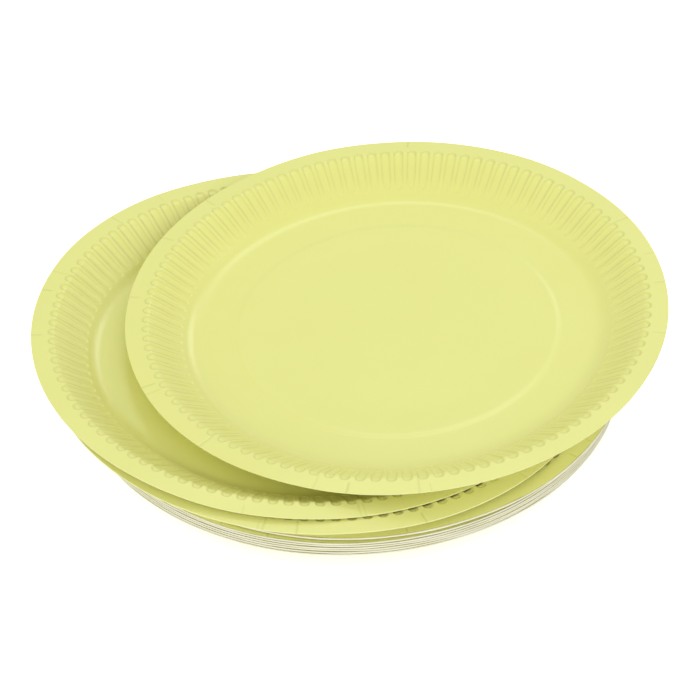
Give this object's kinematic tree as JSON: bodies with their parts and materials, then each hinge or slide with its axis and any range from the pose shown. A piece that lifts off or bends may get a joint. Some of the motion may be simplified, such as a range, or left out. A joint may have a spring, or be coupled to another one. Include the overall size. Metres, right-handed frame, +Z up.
{
  "type": "stack of paper plates",
  "caption": "Stack of round pastel yellow paper plates with fluted walls and flat brims, the upper ones slipped sideways and leaning.",
  "frame": {"origin": "middle of the bottom plate's floor, on the surface that the stack stands on", "axes": "+Z up, square to that surface; +X to the right and +Y to the back as the stack is seen from the front"},
  "size_m": [0.2682, 0.2448, 0.0444],
  "materials": {
    "plate_board": "thin paperboard, pastel yellow and lightly coated on top, plain white below and at the cut edge"
  },
  "bodies": {
    "root": {"plate_01": "plate_board", "plate_02": "plate_board", "plate_03": "plate_board", "plate_04": "plate_board", "plate_05": "plate_board", "plate_06": "plate_board", "plate_07": "plate_board", "plate_08": "plate_board", "plate_09": "plate_board", "plate_10": "plate_board"}
  },
  "joints": []
}
